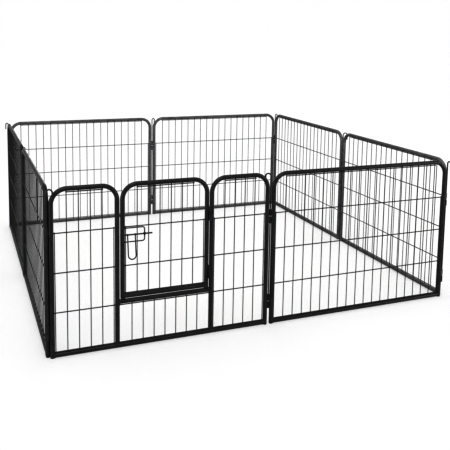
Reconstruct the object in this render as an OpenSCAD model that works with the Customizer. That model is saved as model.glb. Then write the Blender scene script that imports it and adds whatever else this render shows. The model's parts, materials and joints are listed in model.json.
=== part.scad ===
// Pet playpen: a square ring of eight tube-and-wire panels, two to a side, in millimetres.
// Neighbouring panels are hinged on lift-out pins, and one panel holds a swinging door with a slide latch.
// The origin is on the floor at the centre of the ring; +Y runs from the door panel into the pen.

/* [Panels] */
// Outside width of one panel
panel_w = 800; // [740:10:900]
// Height of the panel frames
panel_h = 585; // [560:5:700]
// Clear gap between the legs of neighbouring panels
leg_gap = 10; // [9.6:0.2:14]
// Outside diameter of the frame tube
tube_d = 16; // [14:0.5:18]
// Wall thickness of the frame tube
tube_wall = 1; // [0.8:0.1:1.5]
// Outside radius of the bent top corners
corner_r = 60; // [45:1:70]

/* [Wire mesh] */
// Diameter of the upright wires
upright_d = 3; // [2:0.1:3.4]
// Diameter of the level wires
level_d = 3.6; // [2.4:0.1:4]
// Distance from the tube's surface to the first wire's centre line
mesh_inset = 3; // [2.5:0.5:8]
// Number of upright wires in a plain panel
uprights_plain = 20; // [10:1:26]
// Number of upright wires in a side arch of the door panel
uprights_arch = 6; // [4:1:8]
// Number of upright wires in the door
uprights_door = 8; // [5:1:10]
// Spacing of the upright wires under the door
under_door_pitch = 40; // [30:1:45]

/* [Door] */
// Outside width of the door
door_w = 323; // [280:1:340]
// Gap between the door and the tubes around it
door_gap = 2.5; // [1.5:0.1:4]
// Height of the centre line of the rail under the door
cross_rail_z = 165.5; // [120:0.5:220]
// Distance from the panels' plane out to the door hinge's axis
door_hinge_out = 8.8; // [8.6:0.1:10]

/* [Hinges and pins] */
// Diameter of the lift-out pins and of the door's hinge pins
pin_d = 5; // [4:0.1:5.4]
// Diameter of the bore in a hinge sleeve
sleeve_bore = 5.6; // [5.5:0.1:5.8]
// Outside diameter of a hinge sleeve
sleeve_d = 9; // [8:0.1:9.4]
// Length of one hinge sleeve
sleeve_len = 24; // [16:1:28]
// Height of the lower hinge's foot
low_hinge_z = 62; // [40:1:120]
// Height of the upper hinge's foot
high_hinge_z = 391; // [340:1:420]
// Distance from the foot of one sleeve to the foot of the sleeve above it
sleeve_step = 29; // [28:1:36]
// Bend radius of the pin's hook, on its centre line
hook_r = 10.5; // [10:0.5:14]
// Length of the hook's free end below its bend
hook_tail = 23; // [10:1:40]

/* [Latch] */
// Height of the sliding bolt
bolt_z = 400; // [380:1:402]
// Diameter of the sliding bolt
bolt_d = 5; // [4:0.1:5]
// Length of the sliding bolt
bolt_len = 113.8; // [100:0.2:130]
// Diameter of the rod of the latch bracket and of the pull handle
latch_rod_d = 4; // [3:0.1:4]
// Reach of the latch bracket from the door's leg
bracket_reach = 69; // [60:1:90]
// Height of the latch bracket between its rods' centre lines
bracket_h = 49; // [40:1:49]
// Width of the pull handle between its legs' centre lines
handle_w = 27; // [22:1:34]
// Length of the pull handle below the bolt
handle_len = 86; // [60:1:100]

/* [Hidden] */
$fn = 48;
tube_r = tube_d / 2;
bore_r = tube_r - tube_wall;
bend_r = corner_r - tube_r;
pitch = panel_w + leg_gap;
first_leg = leg_gap / 2 + tube_r;
last_leg = pitch - first_leg;
top_z = panel_h - tube_r;
weld_in = 0.8;
eps = 0.02;

// The upright wires lie just inside the panel's middle plane and the level wires just outside it.
upright_y = upright_d / 2 + eps;
level_y = -level_d / 2 - eps;
mesh_low_z = tube_d + mesh_inset;
mesh_high_z = panel_h - tube_d - mesh_inset;
level_pitch = (mesh_high_z - mesh_low_z) / 4;
upper_level_z = mesh_high_z - level_pitch;

// The door stands midway between the panel's side arches.
mid_x = pitch / 2;
door_first_leg = mid_x - door_w / 2 + tube_r;
door_last_leg = mid_x + door_w / 2 - tube_r;
arch_first_leg = door_first_leg - tube_d - door_gap;
arch_last_leg = door_last_leg + tube_d + door_gap;
door_rail_z = cross_rail_z + tube_d + door_gap;
door_hinge_x = (door_last_leg + arch_last_leg) / 2;
door_hinge_reach = (arch_last_leg - door_last_leg) / 2;
low_knuckle_z = 211;
high_knuckle_z = 426;
knuckle_gap = 0.5;
hinge_pin_head = 1.6;

// The latch sits just outside the upright wires.
latch_y = -bolt_d / 2 - 0.1;
rod_r = latch_rod_d / 2;
bolt_tip_x = arch_first_leg + tube_r + 1.2;
bolt_run = 0.1;
bolt_hole_run = 0.3;
bracket_x = door_first_leg + tube_r + bracket_reach;
bracket_bend = 8;
handle_x = door_first_leg + tube_r + 9;
handle_rest_gap = 0.25;
handle_lean = asin((latch_rod_d + handle_rest_gap) / (bracket_h / 2));
guide_len = 7;
guide_d = 9.6;

// Plain panels: name, place in the ring counted anticlockwise from the door panel.
PANELS = [["front_right", 1], ["right_front", 2], ["right_back", 3], ["back_right", 4],
          ["back_left", 5], ["left_back", 6], ["left_front", 7]];
// Lift-out pins: name, place in the ring, direction of the hook seen from above.
PINS = [["front_left_corner_pin", 0, -32], ["front_middle_pin", 1, 140], ["front_right_corner_pin", 2, -90],
        ["right_middle_pin", 3, -50], ["back_right_corner_pin", 4, 32], ["back_middle_pin", 5, 34],
        ["back_left_corner_pin", 6, 130], ["left_middle_pin", 7, 55]];
// Corners of the ring and middles of its sides, in the same order.
STATIONS = [[-1, -1], [0, -1], [1, -1], [1, 0], [1, 1], [0, 1], [-1, 1], [-1, 0]];

DOOR_NODES = ["door_panel_left_arch", "door_panel_right_arch", "door_panel_bottom_rail",
              "door_panel_cross_rail", "door_panel_left_mesh", "door_panel_right_mesh",
              "door_panel_lower_mesh", "door_panel_hinge_sleeves", "door_panel_door_knuckles",
              "door_hinge_pins", "door_frame", "door_bottom_rail", "door_mesh", "door_knuckles",
              "latch_bracket", "latch_bolt", "latch_handle"];
PANEL_SUFFIXES = ["_frame", "_bottom_rail", "_mesh", "_hinge_sleeves"];

frame_colour = [0.06, 0.06, 0.065];
wire_colour = [0.08, 0.08, 0.085];
pin_colour = [0.1, 0.1, 0.105];

// ---- Places ----

// Moves a panel drawn along +X from its first pin to its place in the ring.
module in_ring(place) {
    translate([STATIONS[place][0] * pitch, STATIONS[place][1] * pitch, 0])
        rotate([0, 0, 90 * floor(place / 2)])
            children();
}

// ---- Tubes ----

// Round bar along +X.
module bar_x(x0, x1, y, z, r) {
    translate([x0, y, z]) rotate([0, 90, 0]) cylinder(r = r, h = x1 - x0);
}

// Quarter bend from an upright leg at x = 0 to the level at x = bend_r.
module bend(r) {
    rotate([90, 0, 0]) rotate_extrude(angle = 90) translate([bend_r, 0]) circle(r = r);
}

// Arch of bar: two legs, two bends and a level top.
module arch_bar(x0, x1, foot0, foot1, r) {
    bend_z = top_z - bend_r;
    translate([x0, 0, foot0]) cylinder(r = r, h = bend_z - foot0);
    translate([x1, 0, foot1]) cylinder(r = r, h = bend_z - foot1);
    translate([x0 + bend_r, 0, bend_z]) mirror([1, 0, 0]) bend(r);
    translate([x1 - bend_r, 0, bend_z]) bend(r);
    bar_x(x0 + bend_r, x1 - bend_r, 0, top_z, r);
}

// Arch of hollow tube with open feet.
module arch_tube(x0, x1, foot0, foot1) {
    difference() {
        arch_bar(x0, x1, foot0, foot1, tube_r);
        arch_bar(x0, x1, foot0 - 1, foot1 - 1, bore_r);
    }
}

// Level tube between two legs, its ends cut to fit round them.
module rail_tube(x0, x1, z) {
    difference() {
        bar_x(x0, x1, 0, z, tube_r);
        bar_x(x0 - 1, x1 + 1, 0, z, bore_r);
        for (x = [x0, x1]) translate([x, 0, z - tube_d]) cylinder(r = tube_r, h = 2 * tube_d);
    }
}

// ---- Wires ----

module upright(x, z0, z1) {
    translate([x, upright_y, z0 - weld_in]) cylinder(d = upright_d, h = z1 - z0 + 2 * weld_in);
}

module level(z, x0, x1) {
    bar_x(x0, x1, level_y, z, level_d / 2);
}

// Mesh of an arch: uprights from foot_z up to the arch, and level wires at the given heights.
// The outermost uprights stop at the upper level wire, clear of the arch's bends.
module arch_mesh(leg0, leg1, count, foot_z, heights) {
    x0 = leg0 + tube_r + mesh_inset;
    x1 = leg1 - tube_r - mesh_inset;
    step = (x1 - x0) / (count - 1);
    color(wire_colour) {
        for (i = [1:count - 2]) upright(x0 + i * step, foot_z, panel_h - tube_d);
        for (x = [x0, x1]) upright(x, foot_z, upper_level_z + level_d / 2);
        for (z = heights) level(z, leg0 + tube_r - weld_in, leg1 - tube_r + weld_in);
        level(mesh_high_z, x0 + step - upright_d, x1 - step + upright_d);
    }
}

full_heights = [for (i = [0:3]) mesh_low_z + i * level_pitch];

// ---- Hinge sleeves ----

// Sleeve round a pin at the origin, welded to a leg that lies in direction toward_leg.
module sleeve(foot_z, toward_leg, leg_distance, bore = sleeve_bore) {
    weld_w = 3;
    weld_end = leg_distance - sqrt(pow(tube_r, 2) - pow(weld_w / 2, 2)) + weld_in;
    translate([0, 0, foot_z]) rotate([0, 0, toward_leg]) difference() {
        union() {
            cylinder(d = sleeve_d, h = sleeve_len);
            translate([0, -weld_w / 2, 1]) cube([weld_end, weld_w, sleeve_len - 2]);
        }
        translate([0, 0, -1]) cylinder(d = bore, h = sleeve_len + 2);
    }
}

// A panel's own four sleeves: the upper of each pair at its first leg, the lower at its last.
module panel_sleeves() {
    color(frame_colour) for (z = [low_hinge_z, high_hinge_z]) {
        sleeve(z + sleeve_step, 0, first_leg);
        translate([pitch, 0, 0]) sleeve(z, 180, first_leg);
    }
}

// ---- Plain panels ----

module panel_frame() {
    color(frame_colour) arch_tube(first_leg, last_leg, 0, 0);
}

module panel_bottom_rail() {
    color(frame_colour) rail_tube(first_leg, last_leg, tube_r);
}

module panel_mesh() {
    arch_mesh(first_leg, last_leg, uprights_plain, tube_d, full_heights);
}

// ---- Door panel ----

// Side arch: its outer leg reaches the floor and its inner leg stands on the bottom rail.
module side_arch(outer_leg, inner_leg) {
    x0 = min(outer_leg, inner_leg);
    x1 = max(outer_leg, inner_leg);
    foot0 = outer_leg < inner_leg ? 0 : tube_r;
    foot1 = outer_leg < inner_leg ? tube_r : 0;
    difference() {
        arch_tube(x0, x1, foot0, foot1);
        bar_x(inner_leg - tube_d, inner_leg + tube_d, 0, tube_r, tube_r);
    }
}

// The left arch's inner leg has a hole in its door side for the bolt.
module door_panel_left_arch() {
    color(frame_colour) difference() {
        side_arch(first_leg, arch_first_leg);
        bar_x(arch_first_leg, arch_first_leg + tube_d, latch_y, bolt_z, bolt_d / 2 + 0.5);
    }
}

module door_panel_right_arch() {
    color(frame_colour) side_arch(last_leg, arch_last_leg);
}

module door_panel_bottom_rail() {
    color(frame_colour) rail_tube(first_leg, last_leg, tube_r);
}

module door_panel_cross_rail() {
    color(frame_colour) rail_tube(arch_first_leg, arch_last_leg, cross_rail_z);
}

module door_panel_left_mesh() {
    arch_mesh(first_leg, arch_first_leg, uprights_arch, tube_d, full_heights);
}

module door_panel_right_mesh() {
    arch_mesh(arch_last_leg, last_leg, uprights_arch, tube_d, full_heights);
}

module door_panel_lower_mesh() {
    roof_z = cross_rail_z - tube_r;
    side = floor((arch_last_leg - arch_first_leg - tube_d) / 2 / under_door_pitch - 0.3);
    color(wire_colour) {
        for (i = [-side:side]) upright(mid_x + i * under_door_pitch, tube_d, roof_z);
        for (z = [mesh_low_z, roof_z - mesh_inset])
            level(z, arch_first_leg + tube_r - weld_in, arch_last_leg - tube_r + weld_in);
    }
}

// ---- Door ----

// Places a knuckle of the door's hinge, whose pin stands just outside the gap.
// side is 1 for the arch's leg and -1 for the door's leg.
module door_knuckle(foot_z, side, bore = sleeve_bore) {
    distance = sqrt(pow(door_hinge_reach, 2) + pow(door_hinge_out, 2));
    angle = atan2(door_hinge_out, side * door_hinge_reach);
    translate([door_hinge_x, -door_hinge_out, 0]) sleeve(foot_z, angle, distance, bore);
}

// The panel's knuckles grip the hinge pins.
module door_panel_door_knuckles() {
    color(frame_colour) for (z = [low_knuckle_z, high_knuckle_z]) door_knuckle(z, 1, pin_d - 0.1);
}

module door_knuckles() {
    color(frame_colour) for (z = [low_knuckle_z, high_knuckle_z])
        door_knuckle(z + sleeve_len + knuckle_gap, -1);
}

// Headed pins that stand in the panel's knuckles.
module door_hinge_pins() {
    pin_h = 2 * (sleeve_len + knuckle_gap) + 1;
    color(pin_colour) for (z = [low_knuckle_z, high_knuckle_z])
        translate([door_hinge_x, -door_hinge_out, z - 1]) {
            cylinder(d = pin_d, h = pin_h + hinge_pin_head);
            translate([0, 0, pin_h]) cylinder(d = pin_d + 2.4, h = hinge_pin_head);
        }
}

// The door's latch-side leg is drilled through for the bolt.
module door_frame() {
    color(frame_colour) difference() {
        arch_tube(door_first_leg, door_last_leg, door_rail_z - tube_r, door_rail_z - tube_r);
        bar_x(door_first_leg - tube_d, door_first_leg + tube_d, latch_y, bolt_z, bolt_d / 2 + bolt_hole_run);
    }
}

module door_bottom_rail() {
    color(frame_colour) rail_tube(door_first_leg, door_last_leg, door_rail_z);
}

module door_mesh() {
    sill_z = door_rail_z + tube_r;
    heights = [sill_z + mesh_inset, mesh_low_z + 2 * level_pitch, upper_level_z];
    arch_mesh(door_first_leg, door_last_leg, uprights_door, sill_z, heights);
}

// ---- Latch ----

// Rounded corner of the latch's rod, from level at the origin side to upright.
module rod_bend(radius) {
    rotate([90, 0, 0]) rotate_extrude(angle = 90) translate([radius, 0]) circle(r = rod_r);
}

// U-shaped bracket whose upright end carries a guide ring for the bolt.
module latch_bracket() {
    start_x = door_first_leg + tube_r - 2 * weld_in;
    bend_x = bracket_x - bracket_bend;
    low_z = bolt_z - bracket_h / 2;
    high_z = bolt_z + bracket_h / 2;
    color(frame_colour) translate([0, latch_y, 0]) difference() {
        union() {
            for (z = [low_z, high_z]) bar_x(start_x, bend_x, 0, z, rod_r);
            translate([bend_x, 0, high_z - bracket_bend]) rod_bend(bracket_bend);
            translate([bend_x, 0, low_z + bracket_bend]) mirror([0, 0, 1]) rod_bend(bracket_bend);
            translate([bracket_x, 0, low_z + bracket_bend])
                cylinder(r = rod_r, h = bracket_h - 2 * bracket_bend);
            bar_x(bracket_x - guide_len / 2, bracket_x + guide_len / 2, 0, bolt_z, guide_d / 2);
        }
        bar_x(bracket_x - guide_len, bracket_x + guide_len, 0, bolt_z, bolt_d / 2 + bolt_run);
    }
}

module latch_bolt() {
    color(pin_colour) bar_x(bolt_tip_x, bolt_tip_x + bolt_len, latch_y, bolt_z, bolt_d / 2);
}

// U-shaped pull that hangs from the bolt and leans outwards on the bracket's lower rod.
module latch_handle() {
    straight = handle_len - handle_w / 2 - rod_r;
    color(pin_colour) translate([handle_x, latch_y, bolt_z]) rotate([-handle_lean, 0, 0]) difference() {
        union() {
            for (x = [0, handle_w]) translate([x, 0, -straight]) cylinder(r = rod_r, h = straight);
            translate([handle_w / 2, 0, -straight]) rotate([90, 0, 0]) rotate([0, 0, 180])
                rotate_extrude(angle = 180) translate([handle_w / 2, 0]) circle(r = rod_r);
        }
        bar_x(-latch_rod_d, handle_w + latch_rod_d, 0, 0, bolt_d / 2 + bolt_run);
    }
}

// ---- Lift-out pins ----

// Straight rod through both hinges, bent over at the top into a hook that points along hook_dir.
module lift_pin(hook_dir) {
    foot_z = low_hinge_z - 2;
    bend_z = panel_h - 4 - pin_d / 2 - hook_r;
    color(pin_colour) rotate([0, 0, hook_dir]) {
        translate([0, 0, foot_z]) cylinder(d = pin_d, h = bend_z - foot_z);
        translate([hook_r, 0, bend_z]) rotate([90, 0, 0])
            rotate_extrude(angle = 180) translate([hook_r, 0]) circle(d = pin_d);
        translate([2 * hook_r, 0, bend_z - hook_tail]) cylinder(d = pin_d, h = hook_tail);
    }
}

// ---- Assembly ----

in_ring(0) door_panel_left_arch();
in_ring(0) door_panel_right_arch();
in_ring(0) door_panel_bottom_rail();
in_ring(0) door_panel_cross_rail();
in_ring(0) door_panel_left_mesh();
in_ring(0) door_panel_right_mesh();
in_ring(0) door_panel_lower_mesh();
in_ring(0) panel_sleeves();  // door_panel_hinge_sleeves
in_ring(0) door_panel_door_knuckles();
in_ring(0) door_hinge_pins();
in_ring(0) door_frame();
in_ring(0) door_bottom_rail();
in_ring(0) door_mesh();
in_ring(0) door_knuckles();
in_ring(0) latch_bracket();
in_ring(0) latch_bolt();
in_ring(0) latch_handle();
for (p = PANELS) {
    in_ring(p[1]) panel_frame();
    in_ring(p[1]) panel_bottom_rail();
    in_ring(p[1]) panel_mesh();
    in_ring(p[1]) panel_sleeves();
}
for (p = PINS)
    translate([STATIONS[p[1]][0] * pitch, STATIONS[p[1]][1] * pitch, 0]) lift_pin(p[2]);
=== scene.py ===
"""Looks for the pet playpen: smooth tubes, wires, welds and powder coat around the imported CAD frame."""

import json
import math
import random

import bmesh
import bpy
import numpy as np
from mathutils import Matrix, Vector


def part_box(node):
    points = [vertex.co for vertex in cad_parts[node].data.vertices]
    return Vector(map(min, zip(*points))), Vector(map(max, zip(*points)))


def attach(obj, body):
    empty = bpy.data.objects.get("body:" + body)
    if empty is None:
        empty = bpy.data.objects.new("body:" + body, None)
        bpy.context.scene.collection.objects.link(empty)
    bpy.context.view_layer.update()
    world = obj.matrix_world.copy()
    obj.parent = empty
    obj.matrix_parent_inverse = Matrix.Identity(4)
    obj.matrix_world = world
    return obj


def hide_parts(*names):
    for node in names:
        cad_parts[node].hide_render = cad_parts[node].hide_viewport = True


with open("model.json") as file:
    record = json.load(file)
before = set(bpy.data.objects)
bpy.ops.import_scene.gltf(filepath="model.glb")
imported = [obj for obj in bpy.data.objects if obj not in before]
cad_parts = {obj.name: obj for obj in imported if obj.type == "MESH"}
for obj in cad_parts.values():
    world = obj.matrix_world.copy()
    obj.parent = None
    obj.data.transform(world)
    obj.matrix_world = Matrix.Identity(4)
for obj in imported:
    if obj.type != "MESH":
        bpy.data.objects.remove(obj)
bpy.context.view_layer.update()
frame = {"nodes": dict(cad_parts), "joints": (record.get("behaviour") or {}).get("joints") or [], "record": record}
rng = random.Random(7)

MM = 0.001
LEG_GAP = 10 * MM          # between the legs of neighbouring panels
CORNER_R = 60 * MM         # outside radius of the arches' bends
TUBE_WALL = 1.0 * MM
SLEEVE_BORE_R = 2.8 * MM
BEAD_R = 1.5 * MM
TUBE_SIDES = 40
WIRE_SIDES = 14
ROD_SIDES = 24

DRILL_SIDES = 32
ARCH_STEPS = 18            # rings in one bend of an arch
HOOK_STEPS = 22            # rings in a half-circle of thin rod
TUBE_SQUEEZE = 0.035       # share of its width that a tube loses in its bend
LEG_RING_HEIGHTS = [-12 * MM, -6 * MM, 6 * MM, 12 * MM]     # extra rings round the bolt's holes

PLAIN_PANELS = ["front_right", "right_front", "right_back", "back_right",
                "back_left", "left_back", "left_front"]
X = np.array([1.0, 0.0, 0.0])
Y = np.array([0.0, 1.0, 0.0])
UP = np.array([0.0, 0.0, 1.0])


# ---------------------------------------------------------------- mesh tools

class Shells:
    """Collects closed shells and turns them into one smooth-shaded object."""

    def __init__(self):
        self.verts, self.faces = [], []

    def rings(self, rings, loop=False):
        """Joins rings of points into a closed shell.
        loop joins the last ring to the first; otherwise both ends are capped."""
        rings = np.asarray(rings, float)
        count, sides = rings.shape[:2]
        base = len(self.verts)
        self.verts.extend(map(tuple, rings.reshape(-1, 3)))
        spans = count if loop else count - 1
        for i in range(spans):
            a, b = base + i * sides, base + ((i + 1) % count) * sides
            for k in range(sides):
                n = (k + 1) % sides
                self.faces.append((a + k, a + n, b + n, b + k))
        if not loop:
            self.faces.append(tuple(base + k for k in reversed(range(sides))))
            self.faces.append(tuple(base + (count - 1) * sides + k for k in range(sides)))

    def blob(self, centre, radii, sides=8, rows=5):
        """A small closed ellipsoid, such as a spot of weld."""
        base = len(self.verts)
        centre, radii = np.asarray(centre, float), np.asarray(radii, float)
        self.verts.append(tuple(centre - radii * UP))
        for i in range(1, rows):
            t = math.pi * i / rows
            for k in range(sides):
                p = 2 * math.pi * k / sides
                d = np.array([math.sin(t) * math.cos(p), math.sin(t) * math.sin(p), -math.cos(t)])
                self.verts.append(tuple(centre + radii * d))
        self.verts.append(tuple(centre + radii * UP))
        top = len(self.verts) - 1
        for k in range(sides):
            n = (k + 1) % sides
            self.faces.append((base, base + 1 + n, base + 1 + k))
            for i in range(rows - 2):
                a, b = base + 1 + i * sides, base + 1 + (i + 1) * sides
                self.faces.append((a + k, a + n, b + n, b + k))
            last = base + 1 + (rows - 2) * sides
            self.faces.append((last + k, last + n, top))

    def build(self, name, matrix=None):
        mesh = bpy.data.meshes.new(name)
        verts = np.array(self.verts)
        if matrix is not None:
            m = np.array(matrix)
            verts = verts @ m[:3, :3].T + m[:3, 3]
        mesh.from_pydata([tuple(v) for v in verts], [], self.faces)
        mesh.validate()
        obj = bpy.data.objects.new(name, mesh)
        bpy.context.scene.collection.objects.link(obj)
        shade(obj)
        return obj


def shade(obj, angle=38):
    """Outward normals, and smooth shading with sharp edges above the angle."""
    bm = bmesh.new()
    bm.from_mesh(obj.data)
    bmesh.ops.recalc_face_normals(bm, faces=bm.faces)
    bm.to_mesh(obj.data)
    bm.free()
    obj.data.shade_smooth()
    obj.data.set_sharp_from_angle(angle=math.radians(angle))


def circle(centre, u, v, ru, rv, sides):
    t = np.linspace(0, 2 * math.pi, sides, endpoint=False)[:, None]
    return np.asarray(centre) + np.cos(t) * ru * u + np.sin(t) * rv * v


def unit(v):
    v = np.asarray(v, float)
    return v / np.linalg.norm(v)


def arc(centre, u, v, r, a0, a1, steps):
    """Points on an arc of radius r in the plane of u and v.
    It runs from angle a0 to a1 in degrees, both ends included."""
    t = np.radians(np.linspace(a0, a1, steps + 1))[:, None]
    return np.asarray(centre) + r * (np.cos(t) * u + np.sin(t) * v)


def flat_sweep(points, normal, radii, sides, squeeze=None):
    """Rings of a round bar swept along a path that lies in a plane with that normal.
    squeeze is each ring's share taken off its width in the plane, as a bent tube has."""
    points = np.asarray(points, float)
    radii = np.broadcast_to(radii, len(points))
    squeeze = np.zeros(len(points)) if squeeze is None else np.asarray(squeeze)
    rings = []
    for i, p in enumerate(points):
        a, b = points[max(i - 1, 0)], points[min(i + 1, len(points) - 1)]
        u = np.cross(unit(b - a), normal)
        across, along = radii[i] * (1 - squeeze[i]), radii[i] * (1 + 0.3 * squeeze[i])
        rings.append(circle(p, u, normal, across, along, sides))
    return np.array(rings)


def rod(shells, points, normal, r, sides=ROD_SIDES, chamfer=(0.6 * MM, 0.6 * MM)):
    """A round bar along a flat path, with chamfered ends."""
    points = [np.asarray(p, float) for p in points]
    first, last = unit(points[1] - points[0]), unit(points[-1] - points[-2])
    path = [points[0], points[0] + first * chamfer[0]] + points[1:-1]
    path += [points[-1] - last * chamfer[1], points[-1]]
    radii = [r - chamfer[0] * 0.8] + [r] * (len(path) - 2) + [r - chamfer[1] * 0.8]
    shells.rings(flat_sweep(path, normal, radii, sides))


def lathe(shells, base, axis, profile, sides=ROD_SIDES, loop=True):
    """Turns a profile of (height, radius) pairs about an axis through base.
    loop closes it on itself, as for a ring."""
    axis = unit(axis)
    u = unit(np.cross(axis, [0.3, 1.0, 0.2]))
    v = np.cross(axis, u)
    shells.rings([circle(np.asarray(base) + axis * h, u, v, r, r, sides) for h, r in profile], loop=loop)


def sleeve_profile(length, outer, inner, bevel=0.5 * MM, inner_bevel=0.3 * MM):
    """A sleeve's closed profile, bevelled at its outer and inner edges."""
    return [(bevel, outer), (length - bevel, outer), (length, outer - bevel), (length, inner + inner_bevel),
            (length - inner_bevel, inner), (inner_bevel, inner), (0, inner + inner_bevel), (0, outer - bevel)]


def bead(shells, points, refs, r, closed, sides=10, ripple=0.16, pitch=1.8 * MM):
    """A weld bead along a path: overlapping ripples, thinner towards an open bead's ends.
    refs are rough sideways directions. No part of a bead goes below the floor."""
    points, refs = np.asarray(points, float), np.asarray(refs, float)
    count = len(points)
    length, rings = 0.0, []
    total = sum(np.linalg.norm(points[i + 1] - points[i]) for i in range(count - 1))
    phase = rng.random() * 6
    for i, p in enumerate(points):
        a = points[(i - 1) % count] if closed else points[max(i - 1, 0)]
        b = points[(i + 1) % count] if closed else points[min(i + 1, count - 1)]
        if i:
            length += np.linalg.norm(p - points[i - 1])
        t = unit(b - a)
        v = unit(np.cross(t, refs[i]))
        u = np.cross(v, t)
        wave = 1 + ripple * abs(math.sin(math.pi * length / pitch + phase))
        wave += 0.05 * math.sin(length * 900 + phase)
        end = 1.0
        if not closed:
            reach = min(length, total - length) / (1.2 * r)
            end = math.sqrt(max(0.02, 1 - max(0.0, 1 - reach) ** 2))
        ring = circle(p, u, v, r * wave * end, r * wave * end, sides)
        ring[:, 2] = np.maximum(ring[:, 2], 0.0)
        rings.append(ring)
    shells.rings(rings, loop=closed)


def islands(node):
    """Lowest and highest corners of each separate solid in a CAD node, in metres."""
    mesh = frame["nodes"][node].data
    co = np.array([v.co for v in mesh.vertices], float).reshape(-1, 3)
    _, same = np.unique(np.round(co * 1e6).astype(np.int64), axis=0, return_inverse=True)
    same = same.reshape(-1)
    parent = list(range(same.max() + 1))

    def find(i):
        while parent[i] != i:
            parent[i] = parent[parent[i]]
            i = parent[i]
        return i

    for e in mesh.edges:
        a, b = find(same[e.vertices[0]]), find(same[e.vertices[1]])
        if a != b:
            parent[a] = b
    groups = {}
    for i, s in enumerate(same):
        groups.setdefault(find(s), []).append(i)
    found = [(co[idx].min(0), co[idx].max(0)) for idx in groups.values()]
    return sorted(found, key=lambda box: tuple(np.round(np.concatenate(box), 5)))


# ---------------------------------------------------------------- materials

def coat(name, dark, light, rough, peel=1.0, rub_bands=()):
    """Powder coat: fine orange peel, soft patches of sheen, rare dust specks,
    and lighter rubbed bands at given heights."""
    mat = bpy.data.materials.new(name)
    mat.use_nodes = True
    nodes, links = mat.node_tree.nodes, mat.node_tree.links
    bsdf = nodes["Principled BSDF"]
    bsdf.inputs["Specular IOR Level"].default_value = 0.32
    bsdf.inputs["Metallic"].default_value = 0.0
    bsdf.inputs["Coat Weight"].default_value = 0.0
    coord = nodes.new("ShaderNodeTexCoord")

    def noise(scale, detail=2.0, roughness=0.55, stretch=None):
        tex = nodes.new("ShaderNodeTexNoise")
        tex.inputs["Scale"].default_value = scale
        tex.inputs["Detail"].default_value = detail
        tex.inputs["Roughness"].default_value = roughness
        if stretch:
            mapping = nodes.new("ShaderNodeMapping")
            mapping.inputs["Scale"].default_value = stretch
            links.new(coord.outputs["Object"], mapping.inputs["Vector"])
            links.new(mapping.outputs["Vector"], tex.inputs["Vector"])
        else:
            links.new(coord.outputs["Object"], tex.inputs["Vector"])
        return tex.outputs["Fac"]

    def ramp(value, low, high, out_low, out_high):
        node = nodes.new("ShaderNodeMapRange")
        node.inputs["From Min"].default_value = low
        node.inputs["From Max"].default_value = high
        node.inputs["To Min"].default_value = out_low
        node.inputs["To Max"].default_value = out_high
        links.new(value, node.inputs["Value"])
        return node.outputs["Result"]

    def mix(factor, a, b):
        node = nodes.new("ShaderNodeMix")
        node.data_type = "RGBA"
        links.new(factor, node.inputs["Factor"])
        for socket, value in ((node.inputs["A"], a), (node.inputs["B"], b)):
            if hasattr(value, "is_output"):
                links.new(value, socket)
            else:
                socket.default_value = (*value, 1)
        return node.outputs["Result"]

    def multiply(a, b):
        node = nodes.new("ShaderNodeMath")
        node.operation = "MULTIPLY"
        links.new(a, node.inputs[0])
        links.new(b, node.inputs[1])
        return node.outputs["Value"]

    patches = noise(38, 3)
    colour = mix(ramp(patches, 0.35, 0.68, 0, 1), dark, light)
    specks = noise(2600, 0)
    colour = mix(ramp(specks, 0.79, 0.86, 0, 0.5), colour, tuple(3.2 * c for c in light))
    sheen = ramp(noise(95, 3), 0.3, 0.7, rough - 0.05, rough + 0.07)
    if rub_bands:
        split = nodes.new("ShaderNodeSeparateXYZ")
        links.new(coord.outputs["Object"], split.inputs["Vector"])
        streaks = ramp(noise(700, 3, 0.7, (1, 1, 0.06)), 0.5, 0.66, 0, 1)
        for low, high in rub_bands:
            middle, half = (low + high) / 2, (high - low) / 2
            off = nodes.new("ShaderNodeMath")
            off.operation = "SUBTRACT"
            off.inputs[1].default_value = middle
            links.new(split.outputs["Z"], off.inputs[0])
            away = nodes.new("ShaderNodeMath")
            away.operation = "ABSOLUTE"
            links.new(off.outputs["Value"], away.inputs[0])
            band = multiply(ramp(away.outputs["Value"], half * 0.7, half * 1.1, 0.75, 0), streaks)
            colour = mix(band, colour, (0.11, 0.11, 0.115))
            tone = nodes.new("ShaderNodeMath")
            tone.operation = "MULTIPLY_ADD"
            tone.inputs[1].default_value = -0.14
            links.new(band, tone.inputs[0])
            links.new(sheen, tone.inputs[2])
            sheen = tone.outputs["Value"]
    links.new(colour, bsdf.inputs["Base Color"])
    links.new(sheen, bsdf.inputs["Roughness"])
    coarse = nodes.new("ShaderNodeBump")
    coarse.inputs["Strength"].default_value = 0.35 * peel
    coarse.inputs["Distance"].default_value = 0.05 * MM
    links.new(noise(820, 1.5), coarse.inputs["Height"])
    fine = nodes.new("ShaderNodeBump")
    fine.inputs["Strength"].default_value = 0.25 * peel
    fine.inputs["Distance"].default_value = 0.02 * MM
    links.new(noise(3400, 1.0), fine.inputs["Height"])
    links.new(coarse.outputs["Normal"], fine.inputs["Normal"])
    links.new(fine.outputs["Normal"], bsdf.inputs["Normal"])
    return mat


HINGE_BANDS = [(box[0][2], box[1][2]) for box in islands("front_right_hinge_sleeves")]

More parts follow.
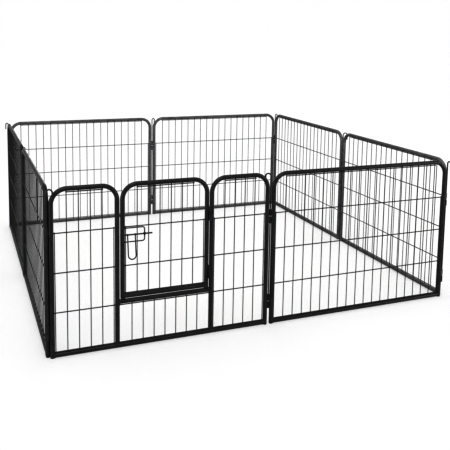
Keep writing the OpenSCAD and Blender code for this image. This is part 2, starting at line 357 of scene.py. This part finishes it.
MATERIALS = {
    "frame_tube": coat("powder_coat_tube", (0.014, 0.014, 0.015), (0.023, 0.023, 0.024), 0.40),
    "mesh_wire": coat("powder_coat_wire", (0.012, 0.012, 0.013), (0.020, 0.020, 0.021), 0.44, 0.7),
    "hinge_sleeve": coat("powder_coat_sleeve", (0.014, 0.014, 0.015), (0.023, 0.023, 0.024), 0.43, 1.2),
    "pin_rod": coat("black_rod", (0.016, 0.016, 0.017), (0.026, 0.026, 0.027), 0.33, 0.6, HINGE_BANDS),
    "latch_rod": coat("black_latch_rod", (0.015, 0.015, 0.016), (0.025, 0.025, 0.026), 0.36, 0.6),
}

# The lights pick their parts by these collections. Both stay out of the scene.
all_parts = bpy.data.collections.new("all_parts")
far_parts = bpy.data.collections.new("far_parts")
FAR_BODIES = ("right_front_panel", "right_back_panel", "back_right_panel", "back_left_panel",
              "right_middle_pin", "back_right_corner_pin", "back_middle_pin", "back_left_corner_pin")


def place(shells, name, body, slot, *nodes, matrix=None):
    """Makes the collected shells one piece on a body, standing for the given CAD nodes."""
    obj = shells.build(name, matrix)
    obj.data.materials.append(MATERIALS[slot])
    all_parts.objects.link(obj)
    if body in FAR_BODIES:
        far_parts.objects.link(obj)
    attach(obj, body)
    if nodes:
        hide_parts(*nodes)
    return obj


# ---------------------------------------------------------------- panels

class Panel:
    """One panel's place: local x runs from its first pin to its last, y into the pen, z up."""

    def __init__(self, left_node, right_node):
        lo_a, hi_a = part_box(left_node)
        lo_b, hi_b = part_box(right_node)
        lo = np.minimum(lo_a, lo_b)
        hi = np.maximum(hi_a, hi_b)
        centre, size = (lo + hi) / 2, hi - lo
        along = 0 if size[0] > size[1] else 1
        inward = np.zeros(3)
        inward[1 - along] = -np.sign(centre[1 - along])
        direction = np.cross(inward, UP)
        self.width = size[along]
        self.height = hi[2]
        self.tube_r = size[1 - along] / 2
        self.pitch = self.width + LEG_GAP
        start = np.array([centre[0], centre[1], 0.0]) - direction * self.pitch / 2
        self.matrix = np.eye(4)
        self.matrix[:3, :] = np.column_stack([direction, inward, UP, start])

    def local(self, box):
        """A box's corners in the panel's own frame."""
        inverse = np.linalg.inv(self.matrix)
        corners = np.array([np.append(np.asarray(c, float), 1.0) for c in box]) @ inverse.T
        return corners[:, :3].min(0), corners[:, :3].max(0)

    def node(self, name):
        return self.local(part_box(name))


def arch_path(x0, x1, foot0, foot1, top, bend, extra=()):
    """Centre line of an arch in the panel's plane, and each point's squeeze.
    extra adds rings on the first leg."""
    z_bend = top - bend
    points, squeeze = [(x0, 0, foot0)], [0]
    for z in extra:
        points.append((x0, 0, z))
        squeeze.append(0)
    for cx, a0, a1 in ((x0 + bend, 180, 90), (x1 - bend, 90, 0)):
        for i, p in enumerate(arc((cx, 0, z_bend), X, UP, bend, a0, a1, ARCH_STEPS)):
            points.append(tuple(p))
            squeeze.append(TUBE_SQUEEZE * math.sin(math.pi * i / ARCH_STEPS) ** 0.7)
    points.append((x1, 0, foot1))
    squeeze.append(0)
    return np.array(points, float), squeeze


def open_tube(shells, path, squeeze, r, wall):
    """A hollow tube along a flat path, with open ends."""
    outer = flat_sweep(path, Y, r, TUBE_SIDES, squeeze)
    inner = flat_sweep(path, Y, r - wall, TUBE_SIDES, squeeze)
    shells.rings(np.concatenate([outer, inner[::-1]]), loop=True)


def coped_rail(shells, x0, x1, z, r, wall):
    """A level tube between two legs, its ends cut to fit round them."""
    t = np.linspace(0, 2 * math.pi, TUBE_SIDES, endpoint=False)
    rings = []
    for radius in (r, r - wall):
        y, dz = radius * np.cos(t), radius * np.sin(t)
        reach = np.sqrt(np.maximum(r * r - y * y, 0))
        between = [np.full_like(t, x0 + (x1 - x0) * s) for s in (0.2, 0.5, 0.8)]
        stations = [x0 + reach] + between + [x1 - reach]
        part = [np.stack([x, y, z + dz], 1) for x in stations]
        rings += part if radius == r else part[::-1]
    shells.rings(rings, loop=True)


def saddle_bead(shells, leg_x, side, z, r, upright=False):
    """Weld ripples round the joint of a level tube and a leg of the same size.
    side is the level tube's direction. upright joins a leg standing on a level tube instead."""
    count, lift = 96, 0.3 * MM
    points, refs = [], []
    for i in range(count):
        t = 2 * math.pi * (i + 0.5) / count
        c, s = math.cos(t), math.sin(t)
        if upright:
            rise = math.sqrt(max(r * r - (r * s) ** 2, 0.0)) + lift
            points.append((leg_x + r * c, r * s, z + rise))
            refs.append((c, s, 0.5))
        else:
            rise = math.sqrt(max(r * r - (r * c) ** 2, 0.0)) + lift
            points.append((leg_x + side * rise, r * c, z + r * s))
            refs.append((0.5 * side, c, s))
    bead(shells, points, refs, BEAD_R * 0.8, closed=True)


def spot_weld_radii():
    """Half sizes of a spot weld along x, y and z, uneven along x and z."""
    radii = [MM * (2.0 + 0.4 * rng.random()) for _ in range(3)]
    radii[1] = 1.5 * MM
    return radii


def wire_mesh(name, body, node, panel):
    """Rebuilds a CAD mesh node's wires smooth, flared where they are welded to a tube,
    with a spot weld at each crossing."""
    shells = Shells()
    wires = [panel.local(box) for box in islands(node)]
    whole_lo = np.min([lo for lo, _ in wires], 0)
    whole_hi = np.max([hi for _, hi in wires], 0)
    uprights, levels = [], []
    for lo, hi in wires:
        size = hi - lo
        along = 2 if size[2] > size[0] else 0
        r = sorted(size)[1] / 2
        centre = (lo + hi) / 2
        (uprights if along == 2 else levels).append((lo, hi, centre, r))
        direction = UP if along == 2 else X
        side = X if along == 2 else UP
        start = centre.copy()
        start[along] = lo[along]
        length = size[along]
        stations = []
        for s, gap in ((0, lo[along] - whole_lo[along]), (1, whole_hi[along] - hi[along])):
            flare = rng.uniform(0.9, 1.15)
            if gap < 1 * MM:
                part = [(0, r * 1.5 * flare), (1.0 * MM, r * 1.45 * flare)]
                part += [(1.9 * MM, r * 1.2), (3.2 * MM, r)]
            else:
                part = [(0, r * 0.72), (0.4 * MM, r), (3.0 * MM, r)]
            stations += part if s == 0 else [(length - d, q) for d, q in reversed(part)]
        other = np.cross(direction, side)
        shells.rings([circle(start + direction * d, side, other, q, q, WIRE_SIDES) for d, q in stations])
    for lo_u, hi_u, centre_u, r_u in uprights:
        for lo_l, hi_l, centre_l, r_l in levels:
            if lo_u[2] < centre_l[2] < hi_u[2] and lo_l[0] < centre_u[0] < hi_l[0]:
                y = (centre_u[1] * r_l + centre_l[1] * r_u) / (r_u + r_l)
                shells.blob((centre_u[0], y, centre_l[2]), spot_weld_radii())
    return place(shells, name, body, "mesh_wire", node, matrix=panel.matrix)


def sleeve_with_beads(shells, beads, axis_point, toward, distance, z0, length, outer, bore, leg_r):
    """A hinge sleeve, and the web and two beads that hold it to a leg.
    The leg stands at that distance from the axis, in direction toward."""
    toward = unit(toward)
    across = np.cross(UP, toward)
    base = np.array([axis_point[0], axis_point[1], z0])
    lathe(shells, base, UP, sleeve_profile(length, outer, bore))
    x_near, x_far = outer - 0.5 * MM, distance - leg_r + 0.6 * MM
    half, inset = 2.4 * MM, 1.6 * MM
    web = []
    for z in (inset, length - inset):
        web.append([base + UP * z + toward * x + across * y
                    for x, y in ((x_near, -half), (x_far, -half), (x_far, half), (x_near, half))])
    beads.rings(web)
    for s in (-1, 1):
        zs = np.linspace(1.2 * MM, length - 1.2 * MM, 30)
        wobble = [0.12 * MM * math.sin(k * 0.9 + rng.random()) for k in range(len(zs))]
        points = [base + toward * (distance - leg_r - 0.1 * MM) + across * s * (3.0 * MM + w) + UP * z
                  for z, w in zip(zs, wobble)]
        bead(beads, points, [across * s] * len(points), 1.25 * MM, closed=False, sides=10)


def panel_sleeves(prefix, body, node, panel):
    """A panel's four hinge sleeves and their welds."""
    sleeves, welds = Shells(), Shells()
    leg = LEG_GAP / 2 + panel.tube_r
    for lo, hi in (panel.local(box) for box in islands(node)):
        at_start = (lo[0] + hi[0]) / 2 < panel.pitch / 2
        axis = (0.0 if at_start else panel.pitch, 0.0)
        outer = (hi[1] - lo[1]) / 2
        sleeve_with_beads(sleeves, welds, axis, X if at_start else -X, leg, lo[2], hi[2] - lo[2],
                          outer, SLEEVE_BORE_R, panel.tube_r)
    place(sleeves, prefix + "_hinge_tubes", body, "hinge_sleeve", node, matrix=panel.matrix)
    place(welds, prefix + "_hinge_welds", body, "hinge_sleeve", matrix=panel.matrix)


def plain_panel(prefix):
    """An arch, a floor rail with its welds, wires and hinge sleeves."""
    body = prefix + "_panel"
    panel = Panel(prefix + "_frame", prefix + "_frame")
    r = panel.tube_r
    leg0, leg1 = LEG_GAP / 2 + r, panel.pitch - LEG_GAP / 2 - r
    shells = Shells()
    path, squeeze = arch_path(leg0, leg1, 0, 0, panel.height - r, CORNER_R - r)
    open_tube(shells, path, squeeze, r, TUBE_WALL)
    place(shells, prefix + "_arch_tube", body, "frame_tube", prefix + "_frame", matrix=panel.matrix)
    shells = Shells()
    coped_rail(shells, leg0, leg1, r, r, TUBE_WALL)
    place(shells, prefix + "_floor_rail", body, "frame_tube", prefix + "_bottom_rail", matrix=panel.matrix)
    shells = Shells()
    saddle_bead(shells, leg0, 1, r, r)
    saddle_bead(shells, leg1, -1, r, r)
    place(shells, prefix + "_rail_welds", body, "frame_tube", matrix=panel.matrix)
    wire_mesh(prefix + "_wires", body, prefix + "_mesh", panel)
    panel_sleeves(prefix, body, prefix + "_hinge_sleeves", panel)


for prefix in PLAIN_PANELS:
    plain_panel(prefix)

# ---------------------------------------------------------------- door panel

door_panel = Panel("door_panel_left_arch", "door_panel_right_arch")
R = door_panel.tube_r
TOP = door_panel.height - R
BEND = CORNER_R - R
left_lo, left_hi = door_panel.node("door_panel_left_arch")
right_lo, right_hi = door_panel.node("door_panel_right_arch")
door_lo, door_hi = door_panel.node("door_frame")
cross_lo, cross_hi = door_panel.node("door_panel_cross_rail")
door_rail_lo, door_rail_hi = door_panel.node("door_bottom_rail")
bolt_lo, bolt_hi = door_panel.node("latch_bolt")
bolt_centre = (bolt_lo + bolt_hi) / 2
bolt_r = (bolt_hi[2] - bolt_lo[2]) / 2
ROOT = "front_left_panel"
leg_rings = [bolt_centre[2] + dz for dz in LEG_RING_HEIGHTS]


def drill(obj, centre, length, r):
    """Cuts a round hole along the panel's x through a tube piece."""
    cutter = Shells()
    start = np.asarray(centre, float) - X * length / 2
    cutter.rings([circle(start + X * d, Y, UP, r, r, DRILL_SIDES) for d in (0, length)])
    tool = cutter.build(obj.name + "_cutter", door_panel.matrix)
    modifier = obj.modifiers.new("hole", "BOOLEAN")
    modifier.operation = "DIFFERENCE"
    modifier.solver = "EXACT"
    modifier.object = tool
    bpy.context.view_layer.update()
    graph = bpy.context.evaluated_depsgraph_get()
    cut = bpy.data.meshes.new_from_object(obj.evaluated_get(graph))
    obj.modifiers.clear()
    obj.data = cut
    shade(obj, 30)
    bpy.data.objects.remove(tool)


def mirrored_arch(x0, x1, extra):
    """As arch_path, with the extra rings on the last leg, which stands on the bottom rail."""
    path, squeeze = arch_path(x0, x1, 0, R, TOP, BEND)
    points = [tuple(p) for p in path]
    for z in reversed(extra):
        points.insert(-1, (x1, 0, z))
        squeeze.insert(-1, 0)
    return np.array(points), squeeze


def side_arch(name, node, inner_leg, outer_leg, hole_at=None):
    """A side arch: its outer leg reaches the floor and its inner leg stands on the bottom rail."""
    if inner_leg < outer_leg:
        path, squeeze = arch_path(inner_leg, outer_leg, R, 0, TOP, BEND, leg_rings)
    else:
        path, squeeze = mirrored_arch(outer_leg, inner_leg, leg_rings)
    outer = flat_sweep(path, Y, R, TUBE_SIDES, squeeze)
    inner = flat_sweep(path, Y, R - TUBE_WALL, TUBE_SIDES, squeeze)
    for rings in (outer, inner):
        foot = rings[0] if inner_leg < outer_leg else rings[-1]
        y = foot[:, 1]
        foot[:, 2] = R + np.sqrt(np.maximum(R * R - y * y, 0))
    shells = Shells()
    shells.rings(np.concatenate([outer, inner[::-1]]), loop=True)
    obj = place(shells, name, ROOT, "frame_tube", node, matrix=door_panel.matrix)
    if hole_at is not None:
        drill(obj, hole_at, 2 * R, bolt_r + 0.5 * MM)


left_outer, left_inner = left_lo[0] + R, left_hi[0] - R
right_inner, right_outer = right_lo[0] + R, right_hi[0] - R
side_arch("door_panel_left_arch_tube", "door_panel_left_arch", left_inner, left_outer,
          hole_at=(left_inner + R, bolt_centre[1], bolt_centre[2]))
side_arch("door_panel_right_arch_tube", "door_panel_right_arch", right_inner, right_outer)
cross_z = (cross_lo[2] + cross_hi[2]) / 2

shells = Shells()
coped_rail(shells, left_outer, right_outer, R, R, TUBE_WALL)
place(shells, "door_panel_floor_rail", ROOT, "frame_tube", "door_panel_bottom_rail",
      matrix=door_panel.matrix)
shells = Shells()
coped_rail(shells, left_inner, right_inner, cross_z, R, TUBE_WALL)
place(shells, "door_panel_sill_rail", ROOT, "frame_tube", "door_panel_cross_rail", matrix=door_panel.matrix)
shells = Shells()
for x, side, z in ((left_outer, 1, R), (right_outer, -1, R),
                   (left_inner, 1, cross_z), (right_inner, -1, cross_z)):
    saddle_bead(shells, x, side, z, R)
for x in (left_inner, right_inner):
    saddle_bead(shells, x, 1, R, R, upright=True)
place(shells, "door_panel_rail_welds", ROOT, "frame_tube", matrix=door_panel.matrix)
for part in ("left", "right", "lower"):
    wire_mesh(f"door_panel_{part}_wires", ROOT, f"door_panel_{part}_mesh", door_panel)
panel_sleeves("door_panel", ROOT, "door_panel_hinge_sleeves", door_panel)

# ---------------------------------------------------------------- door

door_leg0, door_leg1 = door_lo[0] + R, door_hi[0] - R
door_rail_z = (door_rail_lo[2] + door_rail_hi[2]) / 2
shells = Shells()
path, squeeze = arch_path(door_leg0, door_leg1, door_lo[2], door_lo[2], TOP, BEND, leg_rings)
open_tube(shells, path, squeeze, R, TUBE_WALL)
door_tube = place(shells, "door_arch_tube", "door", "frame_tube", "door_frame", matrix=door_panel.matrix)
drill(door_tube, (door_leg0, bolt_centre[1], bolt_centre[2]), 4 * R, bolt_r + 0.3 * MM)
shells = Shells()
coped_rail(shells, door_leg0, door_leg1, door_rail_z, R, TUBE_WALL)
place(shells, "door_sill_tube", "door", "frame_tube", "door_bottom_rail", matrix=door_panel.matrix)
shells = Shells()
saddle_bead(shells, door_leg0, 1, door_rail_z, R)
saddle_bead(shells, door_leg1, -1, door_rail_z, R)
place(shells, "door_rail_welds", "door", "frame_tube", matrix=door_panel.matrix)
wire_mesh("door_wires", "door", "door_mesh", door_panel)

# door hinges: knuckles, welds and headed pins
hinge_joint = next(j for j in frame["joints"] if j["name"] == "door_hinge")
hinge_axis = door_panel.local([hinge_joint["pos_m"]] * 2)[0][:2]
pins = [door_panel.local(box) for box in islands("door_hinge_pins")]
knuckle_r = 4.5 * MM
pin_r = bolt_r             # the hinge pins are as thick as the bolt
for node, body, leg_x, label, bore in (
        ("door_panel_door_knuckles", ROOT, right_inner, "door_panel_door", pin_r),
        ("door_knuckles", "door", door_leg1, "door", SLEEVE_BORE_R)):
    sleeves, welds = Shells(), Shells()
    toward = np.array([leg_x - hinge_axis[0], -hinge_axis[1], 0.0])
    for lo, hi in (door_panel.local(box) for box in islands(node)):
        sleeve_with_beads(sleeves, welds, hinge_axis, toward, np.linalg.norm(toward), lo[2], hi[2] - lo[2],
                          knuckle_r, bore, R)
    place(sleeves, label + "_knuckle_tubes", body, "hinge_sleeve", node, matrix=door_panel.matrix)
    place(welds, label + "_knuckle_welds", body, "hinge_sleeve", matrix=door_panel.matrix)
shells = Shells()
for lo, hi in pins:
    head = (hi[0] - lo[0]) / 2
    height = hi[2] - lo[2]
    lathe(shells, (hinge_axis[0], hinge_axis[1], lo[2]), UP,
          [(0, pin_r - 0.6 * MM), (0.6 * MM, pin_r), (height - 1.6 * MM, pin_r),
           (height - 1.6 * MM, head - 0.2 * MM), (height - 1.4 * MM, head),
           (height - 0.9 * MM, head), (height - 0.4 * MM, head * 0.8),
           (height - 0.1 * MM, head * 0.5), (height, head * 0.2)], loop=False)
place(shells, "door_hinge_rivets", ROOT, "pin_rod", "door_hinge_pins", matrix=door_panel.matrix)

# ---------------------------------------------------------------- latch

bracket_lo, bracket_hi = door_panel.node("latch_bracket")
rod_r = 2.0 * MM
guide_half = 3.5 * MM
bracket_x = bracket_hi[0] - guide_half
low_z, high_z = bracket_lo[2] + rod_r, bracket_hi[2] - rod_r
bend = 8 * MM
latch_y = bolt_centre[1]
here = np.array([0, latch_y, 0])
shells = Shells()
path = [np.array([bracket_lo[0], 0, low_z])] + \
    [np.array([bracket_lo[0] + d, 0, low_z]) for d in (2.4 * MM, 4.0 * MM)] + \
    list(arc((bracket_x - bend, 0, low_z + bend), X, UP, bend, -90, 0, 10)) + \
    list(arc((bracket_x - bend, 0, high_z - bend), X, UP, bend, 0, 90, 10)) + \
    [np.array([bracket_lo[0] + d, 0, high_z]) for d in (4.0 * MM, 2.4 * MM)] + \
    [np.array([bracket_lo[0], 0, high_z])]
flares = [1.5, 1.35, 1.0] + [1.0] * (len(path) - 6) + [1.0, 1.35, 1.5]
shells.rings(flat_sweep(np.array(path) + here, Y, rod_r * np.array(flares), ROD_SIDES))
lathe(shells, (bracket_x - guide_half, latch_y, bolt_centre[2]), X,
      sleeve_profile(2 * guide_half, 4.8 * MM, bolt_r + 0.1 * MM, 0.8 * MM), sides=28)
for s in (-1, 1):
    shells.blob((bracket_x, latch_y, bolt_centre[2] + s * 5.3 * MM), (2.5 * MM, 2.3 * MM, 1.4 * MM), 12, 7)
place(shells, "latch_bracket_rod", "door", "latch_rod", "latch_bracket", matrix=door_panel.matrix)

shells = Shells()
rod(shells, [(bolt_lo[0], latch_y, bolt_centre[2]), (bolt_lo[0] + 30 * MM, latch_y, bolt_centre[2]),
             (bolt_hi[0] - 20 * MM, latch_y, bolt_centre[2]), (bolt_hi[0], latch_y, bolt_centre[2])],
    Y, bolt_r, chamfer=(1.3 * MM, 0.8 * MM))
place(shells, "latch_bolt_rod", "latch_bolt", "latch_rod", "latch_bolt", matrix=door_panel.matrix)

handle_lo, handle_hi = door_panel.node("latch_handle")
legs_x = (handle_lo[0] + rod_r, handle_hi[0] - rod_r)
turn = (legs_x[1] - legs_x[0]) / 2
rest_offset = 4.25 * MM    # the loop hangs in front of the bracket's lower rod, one rod and a gap away
rest_depth = 24.5 * MM     # from the bolt's axis down to that rod's
lean = math.asin(rest_offset / rest_depth)
down = np.array([0, -math.sin(lean), -math.cos(lean)])
across = np.cross(X, down)
pivot = np.array([0, latch_y, bolt_centre[2]])
reach = (bolt_centre[2] - handle_lo[2] - rod_r) / math.cos(lean) - turn
shells = Shells()
path = [pivot + X * legs_x[0] + down * 0.2 * MM, pivot + X * legs_x[0] + down * 3.2 * MM,
        pivot + X * legs_x[0] + down * 5.0 * MM] + \
    list(arc(pivot + X * (legs_x[0] + turn) + down * reach, X, down, turn, 180, 0, HOOK_STEPS)) + \
    [pivot + X * legs_x[1] + down * 5.0 * MM, pivot + X * legs_x[1] + down * 3.2 * MM,
     pivot + X * legs_x[1] + down * 0.2 * MM]
flares = [1.25, 1.25, 1.0] + [1.0] * (len(path) - 6) + [1.0, 1.25, 1.25]
shells.rings(flat_sweep(path, across, rod_r * np.array(flares), ROD_SIDES))
collar_r, collar_half = bolt_r + 1.1 * MM, 2.6 * MM
first_collar_vert = len(shells.verts)
for x in legs_x:
    lathe(shells, pivot + X * (x - collar_half), X,
          [(0, bolt_r + 0.05 * MM), (0.3 * MM, bolt_r + 0.5 * MM), (1.2 * MM, collar_r),
           (2 * collar_half - 1.2 * MM, collar_r), (2 * collar_half - 0.3 * MM, bolt_r + 0.5 * MM),
           (2 * collar_half, bolt_r + 0.05 * MM)])
back = latch_y + bolt_r + 0.08 * MM      # the eyes are flat where they pass the wires
shells.verts[first_collar_vert:] = [(x, min(y, back), z) for x, y, z in shells.verts[first_collar_vert:]]
place(shells, "latch_pull_loop", "latch_handle", "latch_rod", "latch_handle", matrix=door_panel.matrix)

# ---------------------------------------------------------------- lift-out pins

def lift_out_pin(node, body):
    """A long pin with a hooked top, its direction and sizes read from the CAD pin."""
    lo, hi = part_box(node)
    co = np.array([v.co for v in frame["nodes"][node].data.vertices])
    foot_points = co[co[:, 2] < lo[2] + 1 * MM]
    foot = (foot_points.min(0) + foot_points.max(0)) / 2
    r = (foot_points[:, :2].max(0) - foot_points[:, :2].min(0)).max() / 2
    far = co[np.linalg.norm(co[:, :2] - foot[:2], axis=1).argmax()]
    hook_dir = unit([far[0] - foot[0], far[1] - foot[1], 0])
    span = np.linalg.norm(far[:2] - foot[:2]) - r
    hook_r = span / 2
    bend_z = hi[2] - r - hook_r
    off_tail = np.linalg.norm(co[:, :2] - foot[:2] - hook_dir[:2] * span, axis=1)
    tail = co[off_tail < r * 1.05][:, 2].min()
    base = np.array([foot[0], foot[1], 0.0])
    bend_centre = base + hook_dir * hook_r + UP * bend_z
    path = [base + UP * z for z in (lo[2], lo[2] + 0.12, lo[2] + 0.3)]
    path += list(arc(bend_centre, hook_dir, UP, hook_r, 180, 0, HOOK_STEPS))
    path.append(base + hook_dir * span + UP * tail)
    shells = Shells()
    rod(shells, path, np.cross(UP, hook_dir), r, chamfer=(1.4 * MM, 0.6 * MM))
    place(shells, node + "_rod", body, "pin_rod", node)


for body, nodes in frame["record"]["behaviour"]["bodies"].items():
    for node in nodes:
        if node.endswith("_pin"):
            lift_out_pin(node, body)

# ---------------------------------------------------------------- stage, light and camera

FLOOR_HALF = 40.0
FLOOR_DROP = 0.4 * MM      # keeps the floor clear of the tubes' feet
floor_corners = [(x * FLOOR_HALF, y * FLOOR_HALF, 0) for x, y in ((-1, -1), (1, -1), (1, 1), (-1, 1))]
floor_mesh = bpy.data.meshes.new("studio_floor")
floor_mesh.from_pydata(floor_corners, [], [(0, 1, 2, 3)])
floor = bpy.data.objects.new("studio_floor", floor_mesh)
floor.location.z = -FLOOR_DROP
bpy.context.scene.collection.objects.link(floor)
paper = bpy.data.materials.new("studio_paper")
paper.use_nodes = True
sheet = paper.node_tree.nodes["Principled BSDF"].inputs
sheet["Base Color"].default_value = (0.45, 0.45, 0.45, 1)
sheet["Roughness"].default_value = 0.9
sheet["Specular IOR Level"].default_value = 0.1
sheet["Emission Color"].default_value = (1, 1, 1, 1)
sheet["Emission Strength"].default_value = 0.54
floor_mesh.materials.append(paper)

world = bpy.data.worlds.new("studio_world")
bpy.context.scene.world = world
world.use_nodes = True
sky = world.node_tree.nodes["Background"].inputs
sky["Color"].default_value = (1, 1, 1, 1)
sky["Strength"].default_value = 1.0


AIM = Vector((0, 0, 0.2))  # every lamp points here


def softbox(name, location, size, power, lit=None):
    """A rectangular lamp. lit is the collection that it lights; without one it lights everything."""
    data = bpy.data.lights.new(name, "AREA")
    data.shape = "RECTANGLE"
    data.size, data.size_y = size
    data.energy = power
    obj = bpy.data.objects.new(name, data)
    obj.location = location
    obj.rotation_mode = "QUATERNION"
    obj.rotation_quaternion = (AIM - Vector(location)).to_track_quat("-Z", "Y")
    bpy.context.scene.collection.objects.link(obj)
    obj.visible_camera = False
    if lit:
        obj.light_linking.receiver_collection = lit
    return obj


softbox("key_light", (-3.5, -4.5, 5.5), (4.0, 4.0), 45)
softbox("fill_light", (5.0, -2.0, 4.0), (4.0, 4.0), 25)
softbox("back_light", (1.5, 5.5, 5.0), (5.0, 3.0), 8)
# The far panels' own lamp makes them greyer than the near ones. It is hidden from reflections,
# so that it doesn't glare on the rails from behind.
far_light = softbox("far_panels_light", (-1.0, -4.0, 3.0), (3.0, 3.0), 2500, far_parts)
far_light.visible_glossy = False
softbox("right_strip_light", (3.6, -3.4, 0.7), (0.7, 1.6), 120, all_parts)
softbox("left_strip_light", (-4.4, -2.2, 0.7), (0.7, 1.6), 95, all_parts)
softbox("back_strip_light", (0.8, 4.6, 1.0), (1.6, 1.2), 30, all_parts)
softbox("top_strip_light", (-1.0, -2.6, 4.2), (1.6, 0.8), 120, all_parts)

bpy.context.scene.view_settings.view_transform = "Standard"
bpy.context.scene.view_settings.gamma = 0.55     # keeps thin wires dark against the white ground

FOCAL_PX, FRAME_PX, SENSOR_MM = 672.41, 450.0, 36.0
yaw, pitch, roll = 0.3831, 0.1202, 0.0164
cam_data = bpy.data.cameras.new("camera")
cam_data.sensor_width = SENSOR_MM
cam_data.lens = FOCAL_PX / FRAME_PX * SENSOR_MM
cam_data.shift_y = -0.25
cam_data.clip_start, cam_data.clip_end = 0.05, 200
CAMERA_AT = (-1.0738, -3.0071, 1.0978)
cam = bpy.data.objects.new("camera", cam_data)
flat = math.cos(pitch)
forward = Vector((math.sin(yaw) * flat, math.cos(yaw) * flat, -math.sin(pitch)))
level = Vector((math.cos(yaw), -math.sin(yaw), 0))
upward = level.cross(forward)
right = level * math.cos(roll) + upward * math.sin(roll)
top_dir = -level * math.sin(roll) + upward * math.cos(roll)
cam_turn = Matrix((right, top_dir, -forward)).transposed().to_4x4()
cam.matrix_world = Matrix.Translation(CAMERA_AT) @ cam_turn
bpy.context.scene.collection.objects.link(cam)
bpy.context.scene.camera = cam
